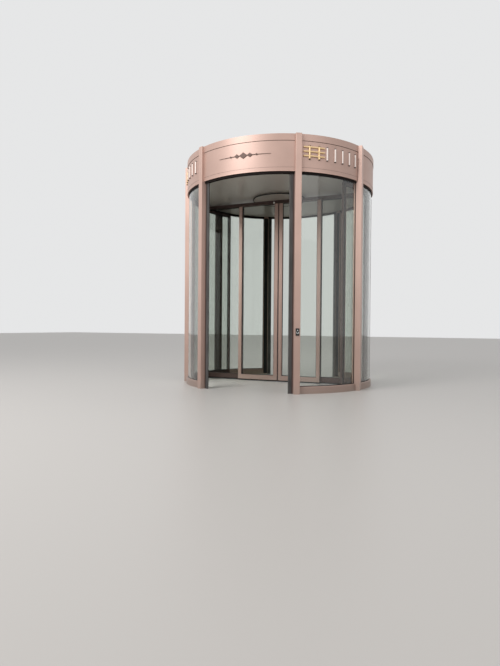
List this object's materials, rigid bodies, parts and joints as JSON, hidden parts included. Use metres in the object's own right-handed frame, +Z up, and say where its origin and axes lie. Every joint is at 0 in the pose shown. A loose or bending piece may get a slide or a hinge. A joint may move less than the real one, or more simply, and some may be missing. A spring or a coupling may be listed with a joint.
{
  "type": "revolving door",
  "caption": "Two-wing revolving door: glazed round drum with posts, fascia and canopy, and a rotor with curved ends and sliding centre leaves.",
  "frame": {"origin": "centre of the drum on the floor", "axes": "+Z up along the rotor's axis, -Y towards the outer side, +X right as seen from outside"},
  "size_m": [2.9796, 2.9829, 3.5],
  "materials": {
    "bronze": "satin anodised",
    "sill_bronze": "satin anodised",
    "fascia_bronze": "satin anodised",
    "dark_bronze": "satin",
    "light_bar": "satin",
    "gold": "polished",
    "rubber": "matte",
    "wall_glass": "clear, bent",
    "ceiling_panel": "satin",
    "steel": "primed",
    "button": "gloss",
    "hub_panel": "satin",
    "rotor_bronze": "satin anodised",
    "rotor_glass": "clear",
    "brush": "dense bristle"
  },
  "bodies": {
    "drum": {"access_button": "button", "canopy_frame": "steel", "ceiling": "ceiling_panel", "fascia_front": "fascia_bronze", "fascia_left": "fascia_bronze", "fascia_rear": "fascia_bronze", "fascia_right": "fascia_bronze", "front_left_post": "bronze", "front_relief": "dark_bronze", "front_right_post": "bronze", "front_safety_edges": "rubber", "lattices": "gold", "left_front_glass": "wall_glass", "left_mullion": "bronze", "left_rear_glass": "wall_glass", "left_side_glass": "wall_glass", "left_sill": "sill_bronze", "left_wall_post": "bronze", "light_bars": "light_bar", "rear_left_post": "bronze", "rear_right_post": "bronze", "rear_safety_edges": "rubber", "right_front_glass": "wall_glass", "right_mullion": "bronze", "right_rear_glass": "wall_glass", "right_side_glass": "wall_glass", "right_sill": "sill_bronze", "right_wall_post": "bronze", "roof": "ceiling_panel", "throat_heads": "dark_bronze", "wall_heads": "dark_bronze"},
    "rotor": {"hub": "hub_panel", "header": "rotor_bronze", "right_fixed_frame": "rotor_bronze", "left_fixed_frame": "rotor_bronze", "right_end_frame": "rotor_bronze", "left_end_frame": "rotor_bronze", "right_fixed_glass": "rotor_glass", "left_fixed_glass": "rotor_glass", "right_end_glass": "rotor_glass", "left_end_glass": "rotor_glass", "right_wing_brushes": "brush", "left_wing_brushes": "brush"},
    "right_leaf": {"right_leaf_frame": "rotor_bronze", "right_leaf_glass": "rotor_glass", "right_leaf_brush": "brush"},
    "left_leaf": {"left_leaf_frame": "rotor_bronze", "left_leaf_glass": "rotor_glass", "left_leaf_brush": "brush"}
  },
  "joints": [
    {"name": "rotor_turn", "type": "hinge", "parent": "drum", "child": "rotor", "pos_m": [0, 0, 0], "axis": [0, 0, 1], "continuous": true},
    {"name": "right_leaf_slide", "type": "slide", "parent": "rotor", "child": "right_leaf", "axis": [1, 0, 0], "range_m": [0, 0.6]},
    {"name": "left_leaf_slide", "type": "slide", "parent": "rotor", "child": "left_leaf", "axis": [-1, 0, 0], "range_m": [0, 0.6]}
  ],
  "couplings": [
    {"joint": "left_leaf_slide", "follows": "right_leaf_slide", "ratio": 1}
  ]
}
